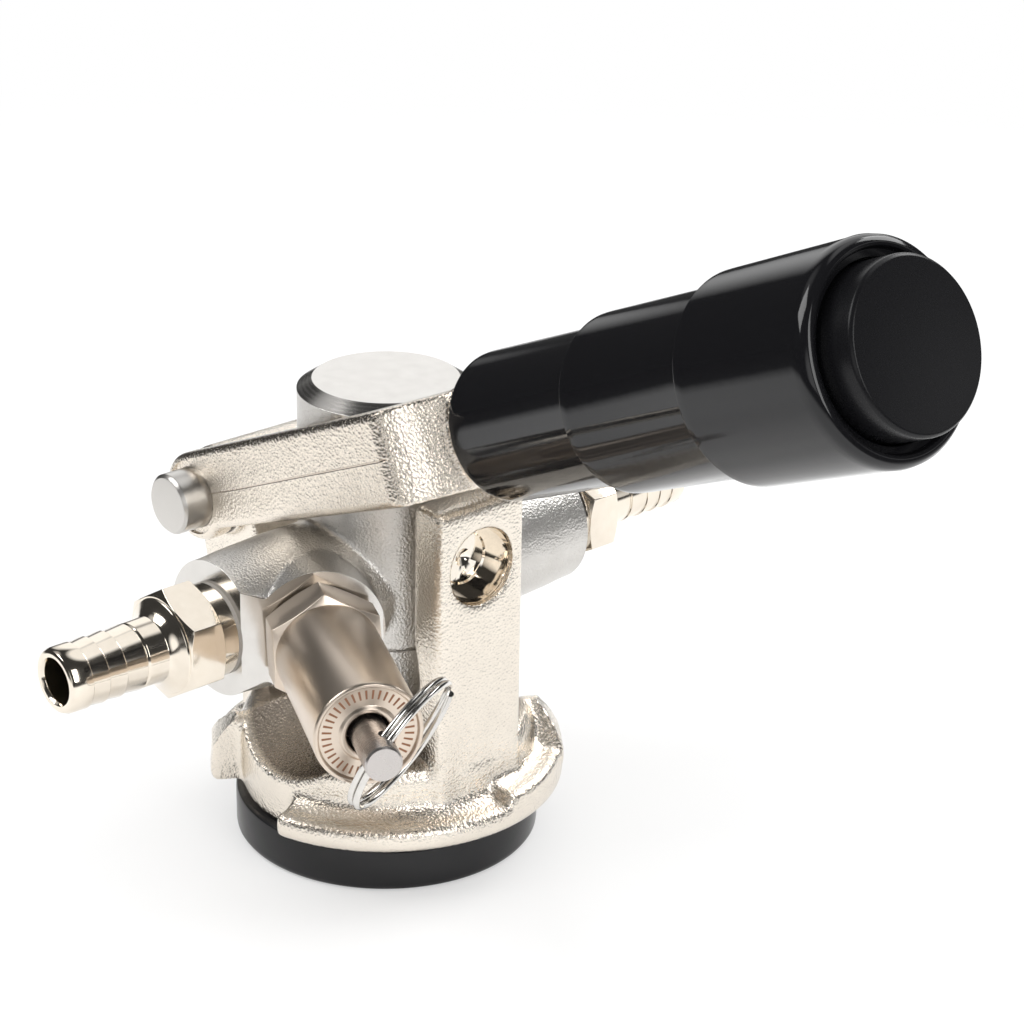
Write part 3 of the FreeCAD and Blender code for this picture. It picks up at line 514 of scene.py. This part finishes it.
def housing():
    body = casting("housing_skin", "housing", 0.55 * MM, 3)
    far = 45 * MM
    shoulder = lathe("ear_shoulder", [(17.2 * MM, 35.3 * MM), (20.5 * MM, 33.6 * MM), (23.2 * MM, 31.6 * MM),
                                      (24.6 * MM, 29.9 * MM), (26.2 * MM, 29.3 * MM), (26.2 * MM, far),
                                      (17.2 * MM, far), (17.2 * MM, 35.3 * MM)])
    column = block((-far, -20 * MM, 17 * MM), (-20 * MM, 20 * MM, 27 * MM))
    cut_with(shoulder, column)
    cut_with(body, shoulder)
    modified(body, "SMOOTH", factor=0.5, iterations=12)
    mouth = 28.3 * MM
    hole = lathe("latch_drill", [(-1.0 * MM, 0), (-1.0 * MM, 7.3 * MM), (5.4 * MM, 7.3 * MM), (5.4 * MM, 5.2 * MM),
                                 (5.8 * MM, 4.9 * MM), (5.8 * MM, 0)],
                 Matrix.Translation((mouth, 0, PIVOT.z)) @ Matrix.Rotation(math.radians(-90), 4, "Y"))
    cut_with(body, hole)
    crisp(body, angle=28)
    dressed(body, NICKEL_HOUSING, "coupler", "cast_nickel", "housing")


def valve_head():
    blank_top = lathe("cap_stock", [(80 * MM, 0), (80 * MM, CAP_R), (CAP_TOP + 2 * MM, CAP_R), (CAP_TOP + 2 * MM, 0)])
    beer_stock = lathe("beer_stock", [(30 * MM, 0), (30 * MM, 13.2 * MM), (PORT_END + 2 * MM, 13 * MM),
                                      (PORT_END + 2 * MM, 0)], BEER)
    gas_stock = lathe("gas_stock", [(30 * MM, 0), (30 * MM, 13.2 * MM), (PORT_END + 2 * MM, 13 * MM),
                                    (PORT_END + 2 * MM, 0)], GAS)
    boss_stock = lathe("boss_stock", [(4 * MM, 0), (4 * MM, 12.6 * MM), (BOSS_FACE + 2 * MM, 12.6 * MM),
                                      (BOSS_FACE + 2 * MM, 0)], RELIEF)
    head = casting("head_skin", "valve_head", 0.5 * MM, 6, (blank_top, beer_stock, gas_stock, boss_stock))
    far = 30 * MM
    face_cut = lathe("cap_cut", [(CAP_TOP, 0), (CAP_TOP, CAP_FACE_R), (CAP_TOP - CAP_BEVEL, CAP_R),
                                 (CAP_TOP - CAP_BEVEL - 0.3 * MM, far), (CAP_TOP + 5 * MM, far),
                                 (CAP_TOP + 5 * MM, 0)])
    beer_cut = block((-far, -far, PORT_END), (far, far, PORT_END + 9 * MM), BEER)
    gas_cut = block((-far, -far, PORT_END), (far, far, PORT_END + 9 * MM), GAS)
    boss_cut = block((-17 * MM, -26 * MM, BOSS_FACE), (17 * MM, 15 * MM, BOSS_FACE + 20 * MM), RELIEF)
    cut_with(head, face_cut, beer_cut, gas_cut, boss_cut)
    crisp(head, angle=28)
    dressed(head, SILVER, "head", "cast_silver", "valve_head")


def lever():
    fork = casting("fork_skin", "lever_fork", 0.5 * MM, 6)
    for side in (-1, 1):
        recess = lathe("pin_recess", [(side * (ARM_OUT - 0.5 * MM), 0), (side * (ARM_OUT - 0.5 * MM), 7.4 * MM),
                                      (side * (ARM_OUT + 3 * MM), 7.4 * MM), (side * (ARM_OUT + 3 * MM), 0)], HINGE)
        cut_with(fork, recess)
    crisp(fork, angle=30)
    dressed(fork, NICKEL_LEVER, "lever", "cast_nickel", "lever_fork")


def hinge_pin():
    near = ARM_OUT + 5.8 * MM
    far = -ARM_OUT - 3.2 * MM
    pin = lathe("pin_skin", [(far, 0), (far, PIN_R - 0.5 * MM), (far + 0.5 * MM, PIN_R), (near - 0.6 * MM, PIN_R),
                             (near, PIN_R - 0.6 * MM), (near, 0)], HINGE)
    crisp(pin, 0.1 * MM)
    dressed(pin, STEEL_PIN, "coupler", "turned_steel", "hinge_pin")


def grip():
    a, b, c = GRIP_STARTS
    ra, rb, rc = GRIP_RADII
    end, rim, edge = GRIP_END, GRIP_RIM_R, 0.35 * MM
    steps = [(a, 11.1 * MM), (a, ra - 0.6 * MM), (a + 0.6 * MM, ra - 0.1 * MM), (a + 2 * MM, ra), (b, ra + 0.1 * MM),
             (b, rb - edge), (b + edge, rb - 0.05 * MM), (b + 2 * MM, rb), (c, rb + 0.15 * MM), (c, rc - edge),
             (c + edge, rc - 0.05 * MM), (c + 2 * MM, rc), (end - 3.6 * MM, rim - 0.1 * MM),
             (end - 2.2 * MM, rim), (end - 1.0 * MM, rim - 0.25 * MM), (end - 0.3 * MM, rim - 0.8 * MM),
             (end, rim - 1.6 * MM), (end - 0.2 * MM, rim - 2.2 * MM), (end - 1.3 * MM, rim - 2.5 * MM),
             (end - 1.6 * MM, BUTTON_R + 0.35 * MM), (161 * MM, BUTTON_R + 0.35 * MM), (161 * MM, 9.6 * MM),
             (a, 9.6 * MM), (a, 11.1 * MM)]
    skin = crisp(lathe("grip_skin", steps, HANDLE, 192), 0.15 * MM)
    dressed(skin, GRIP_BLACK, "lever", "black_gloss", "handle_grip")


def end_button():
    top, r = BUTTON_TOP, BUTTON_R
    steps = [(167 * MM, 0), (167 * MM, r - 0.5 * MM), (167.5 * MM, r), (top - 0.6 * MM, r), (top, r - 0.5 * MM), (top, 0)]
    skin = crisp(lathe("button_skin", steps, HANDLE, 160), 0.25 * MM)
    dressed(skin, BUTTON_BLACK, "latch", "black_gloss", "latch_button")


def hose_fitting(label, matrix):
    tip, r = BARB_TIP, BARB_R
    steps = [(30 * MM, BARB_BORE), (tip - 0.7 * MM, BARB_BORE), (tip - 0.1 * MM, BARB_BORE + 0.35 * MM),
             (tip, r - 1.0 * MM), (tip - 0.25 * MM, r - 0.45 * MM), (tip - 1.0 * MM, r - 0.1 * MM)]
    for start, stop in ((4.3, 4.6), (7.8, 8.1), (11.5, 11.8), (15.9, 16.2)):
        steps += [(tip - start * MM, r), (tip - (start + 0.12) * MM, r - 0.32 * MM), (tip - stop * MM, r - 0.36 * MM)]
    steps += [(tip - 16.6 * MM, r - 0.1 * MM), (tip - 20.6 * MM, r), (tip - 21.4 * MM, r + 0.5 * MM),
              (HEX_FRONT + 0.9 * MM, HEX_HALF - 1.7 * MM), (HEX_FRONT + 0.3 * MM, HEX_HALF - 0.6 * MM),
              (HEX_FRONT - 0.3 * MM, HEX_HALF - 0.3 * MM), (HEX_BACK, HEX_HALF - 0.3 * MM),
              (HEX_BACK - 0.1 * MM, HEX_HALF - 0.6 * MM), (PORT_END + 0.8 * MM, HEX_HALF - 0.6 * MM),
              (PORT_END + 0.8 * MM, 6.5 * MM), (30 * MM, 6.5 * MM), (30 * MM, BARB_BORE)]
    tube = crisp(lathe(f"{label}_spigot", steps, matrix, 128), 0.08 * MM, 25)
    nut = crisp(hex_nut(f"{label}_hex", HEX_BACK, HEX_FRONT, HEX_HALF, matrix, math.radians(2), 0.18 * MM))
    dressed(tube, BRIGHT, "head", "polished_nickel", f"{label}_barb")
    dressed(nut, BRIGHT, "head", "polished_nickel")


def relief_valve():
    low = BOSS_FACE + 0.8 * MM
    face, r = RELIEF_END, RELIEF_R
    steps = [(52 * MM, STEM_R + 0.6 * MM), (face - 0.4 * MM, STEM_R + 0.6 * MM), (face - 0.1 * MM, STEM_R + 0.9 * MM),
             (face - 0.1 * MM, STEM_R + 1.5 * MM), (face - 0.6 * MM, STEM_R + 2.0 * MM),
             (face - 0.7 * MM, r - 1.1 * MM), (face - 0.1 * MM, r - 0.85 * MM), (face, r - 0.7 * MM),
             (face - 0.05 * MM, r - 0.3 * MM), (face - 0.4 * MM, r - 0.05 * MM), (face - 0.9 * MM, r),
             (RELIEF_HEX_END - 0.5 * MM, r), (RELIEF_HEX_END - 0.5 * MM, 7.4 * MM), (52 * MM, 7.4 * MM),
             (52 * MM, STEM_R + 0.6 * MM)]
    barrel = crisp(lathe("relief_barrel", steps, RELIEF, 160), 0.12 * MM, 25)
    nut = crisp(hex_nut("relief_hex_skin", low, RELIEF_HEX_END, RELIEF_HEX, RELIEF, math.radians(2), 0.2 * MM))
    dressed(barrel, STEEL_RELIEF, "head", "turned_steel", "relief_body")
    dressed(nut, STEEL_RELIEF, "head", "turned_steel")
    stem = lathe("stem_skin", [(24 * MM, 0), (24 * MM, 6.8 * MM), (25.6 * MM, 6.8 * MM), (26.4 * MM, STEM_R),
                               (STEM_END - 0.35 * MM, STEM_R), (STEM_END, STEM_R - 0.35 * MM), (STEM_END, 0)], RELIEF, 96)
    eye = lathe("stem_eye", [(-8 * MM, 0), (-8 * MM, 1.75 * MM), (8 * MM, 1.75 * MM), (8 * MM, 0)],
                Matrix.Translation(RING_HOOK) @ RING_AXIS.to_track_quat("Z", "Y").to_matrix().to_4x4(), 48)
    cut_with(stem, eye)
    crisp(stem)
    dressed(stem, STEEL_STEM, "stem", "turned_steel", "relief_stem")


def pull_ring():
    """A split ring: one wire wound twice about the ring's own axis, its ends lying side by side."""
    box_low, box_high = [Vector(v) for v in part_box("pull_ring")]
    middle = (box_low + box_high) / 2
    outward = (RING_HOOK - middle).normalized()
    through = (-RING_AXIS - outward * outward.dot(-RING_AXIS)).normalized()
    spin = outward.cross(through)
    mean, wire, turns, steps = 13.2 * MM, 0.62 * MM, 1.96, 96
    curve = bpy.data.curves.new("split_ring", "CURVE")
    curve.dimensions = "3D"
    curve.bevel_depth = wire
    curve.bevel_resolution = 6
    curve.use_fill_caps = True
    spline = curve.splines.new("NURBS")
    spline.points.add(steps)
    for i, point in enumerate(spline.points):
        share = i / steps
        angle = math.pi * 0.72 + turns * 2 * math.pi * share
        rise = 1.24 * MM * (1 / (1 + math.exp(-40 * (share - 0.5))) - 0.5)
        at = middle + mean * (math.cos(angle) * outward + math.sin(angle) * through) + rise * spin
        point.co = (*at, 1.0)
    spline.order_u = 3
    spline.use_endpoint_u = True
    piece = bpy.data.objects.new("split_ring", curve)
    bpy.context.scene.collection.objects.link(piece)
    only(piece)
    bpy.ops.object.convert(target="MESH")
    crisp(bpy.context.object, angle=40)
    dressed(bpy.context.object, WIRE, "ring", "bright_steel", "pull_ring")


def plain_nodes():
    """CAD nodes that keep their own shape get their finish here."""
    finishes = {
        "hub_oring": RUBBER, "base_seal": RUBBER, "probe_seal": RUBBER, "detent_ring": RUBBER, "check_ball": RUBBER,
        "relief_poppet": RUBBER, "hinge_clip": STEEL_PIN, "pivot_washer_front": FIBRE, "pivot_washer_back": FIBRE,
        "beer_washer": FIBRE, "gas_washer": FIBRE, "relief_washer": FIBRE, "probe_tube": STEEL_UP,
        "drive_pin_front": STEEL_PIN, "drive_pin_back": STEEL_PIN, "handle_core": STEEL_BUTTON,
        "handle_bush": STEEL_BUTTON, "latch_bolt": STEEL_BUTTON, "latch_rod": STEEL_BUTTON, "check_seat": STEEL_UP,
        "relief_spring": WIRE,
    }
    for node, material in finishes.items():
        for place in frame["nodes"][node].material_slots:
            place.material = material


# ------------------------------------------------------------------ stage, light and camera
# Pale panels of the studio, as metal sees them: direction, half-angle, edge softness and level.
SOFT_PANELS = (
    ((-0.68, 0.62, 0.42), 24, 0.08, 1.25),
    ((0.50, -0.85, 0.12), 20, 0.08, 1.25),
    ((-0.08, 0.57, 0.82), 23, 0.06, 1.1),
    ((-0.62, -0.20, 0.76), 13, 0.08, 0.7),
    ((0.62, 0.70, 0.02), 14, 0.06, 0.8),
)
ROOM_LIGHT = 0.75


def stage():
    clear_selection()
    bpy.ops.mesh.primitive_plane_add(size=6, location=(0, 0, -0.0001))
    floor = bpy.context.object
    floor.name = "floor"
    paper = Finish("floor_paper", (0.93, 0.93, 0.93), 0.6)
    path = paper.tree.nodes.new("ShaderNodeLightPath")
    glow = paper.tree.nodes.new("ShaderNodeEmission")
    glow.inputs["Color"].default_value = (1, 1, 1, 1)
    mix = paper.tree.nodes.new("ShaderNodeMixShader")
    paper.tree.links.new(paper.shader.outputs[0], mix.inputs[1])
    paper.tree.links.new(glow.outputs[0], mix.inputs[2])
    x, y = paper.axes(paper.place)[:2]
    far = (abs(x).above(0.5, 0.6) + abs(y).above(0.5, 0.6) + 0.4).clipped()
    paper.tree.links.new((far * Sock(paper.tree, path.outputs["Is Camera Ray"])).link, mix.inputs[0])
    # The pale table ends not far off, so metal sees a darker room past its edge.
    room = paper.node("ShaderNodeBsdfDiffuse", 0, None, Color=(0.05, 0.05, 0.05, 1))
    table = (x * x + y * y).maths("SQRT").above(0.42, 0.2) * Sock(paper.tree, path.outputs["Is Glossy Ray"])
    ended = paper.node("ShaderNodeMixShader", 0, None, Fac=table)
    paper.tree.links.new(mix.outputs[0], ended.link.node.inputs[1])
    paper.tree.links.new(room.link, ended.link.node.inputs[2])
    paper.tree.links.new(ended.link, paper.tree.nodes["Material Output"].inputs[0])
    floor.data.materials.append(paper.material)

    world = bpy.data.worlds.new("studio")
    bpy.context.scene.world = world
    world.use_nodes = True
    tree = world.node_tree
    ground = tree.nodes["Background"]
    ground.inputs["Color"].default_value = (1, 1, 1, 1)
    path = tree.nodes.new("ShaderNodeLightPath")
    camera_ray = Sock(tree, path.outputs["Is Camera Ray"])
    glossy_ray = Sock(tree, path.outputs["Is Glossy Ray"])
    way = Sock(tree, tree.nodes.new("ShaderNodeTexCoord").outputs["Generated"])
    panels = glossy_ray * 0.04
    for towards, spread, soft, level in SOFT_PANELS:
        aim = tree.nodes.new("ShaderNodeVectorMath")
        aim.operation = "DOT_PRODUCT"
        tree.links.new(way.link, aim.inputs[0])
        aim.inputs[1].default_value = Vector(towards).normalized()
        facing = Sock(tree, aim.outputs["Value"])
        panels = panels.maths("MAXIMUM", facing.above(math.cos(math.radians(spread)), soft) * level)
    seen = glossy_ray * panels + (1.0 - glossy_ray) * ROOM_LIGHT
    tree.links.new((camera_ray + (1.0 - camera_ray) * seen).link, ground.inputs["Strength"])


def lamp(name, at, target, size, power, color=(1, 1, 1)):
    data = bpy.data.lights.new(name, "AREA")
    data.shape = "RECTANGLE"
    data.size, data.size_y = size
    data.energy = power
    data.color = color
    obj = bpy.data.objects.new(name, data)
    bpy.context.scene.collection.objects.link(obj)
    obj.location = at
    obj.rotation_euler = (Vector(target) - Vector(at)).to_track_quat("-Z", "Y").to_euler()
    return obj


def lights():
    heart = (0.02, 0, 0.07)
    lamp("key", (-0.35, -0.55, 0.75), heart, (0.5, 0.5), 4.0)
    lamp("side", (0.75, -0.1, 0.45), heart, (0.3, 0.6), 2.5)
    lamp("rear", (0.1, 0.7, 0.6), heart, (0.6, 0.3), 3.0)


def camera():
    """The viewpoint: turned, raised and rolled about the coupler, at a long lens."""
    turn, rise, roll = math.radians(47.91), math.radians(23.16), math.radians(0.95)
    back = Vector((math.sin(turn) * math.cos(rise), -math.cos(turn) * math.cos(rise), math.sin(rise)))
    right = Vector((math.cos(turn), math.sin(turn), 0))
    up = back.cross(right)
    at = back * 0.57587 + right * 0.02412 + up * 0.06127
    right, up = (math.cos(roll) * right + math.sin(roll) * up, math.cos(roll) * up - math.sin(roll) * right)
    data = bpy.data.cameras.new("view")
    data.sensor_width = 36
    data.lens = 2865 / 1024 * 36
    data.clip_start = 0.01
    obj = bpy.data.objects.new("view", data)
    bpy.context.scene.collection.objects.link(obj)
    turned = Matrix((right, up, back)).transposed().to_4x4()
    obj.matrix_world = Matrix.Translation(at) @ turned
    bpy.context.scene.camera = obj


camera()
plain_nodes()
base_ring()
housing()
valve_head()
lever()
hinge_pin()
grip()
end_button()
hose_fitting("beer", BEER)
hose_fitting("gas", GAS)
relief_valve()
pull_ring()
stage()
lights()
bpy.context.scene.view_settings.view_transform = "Standard"
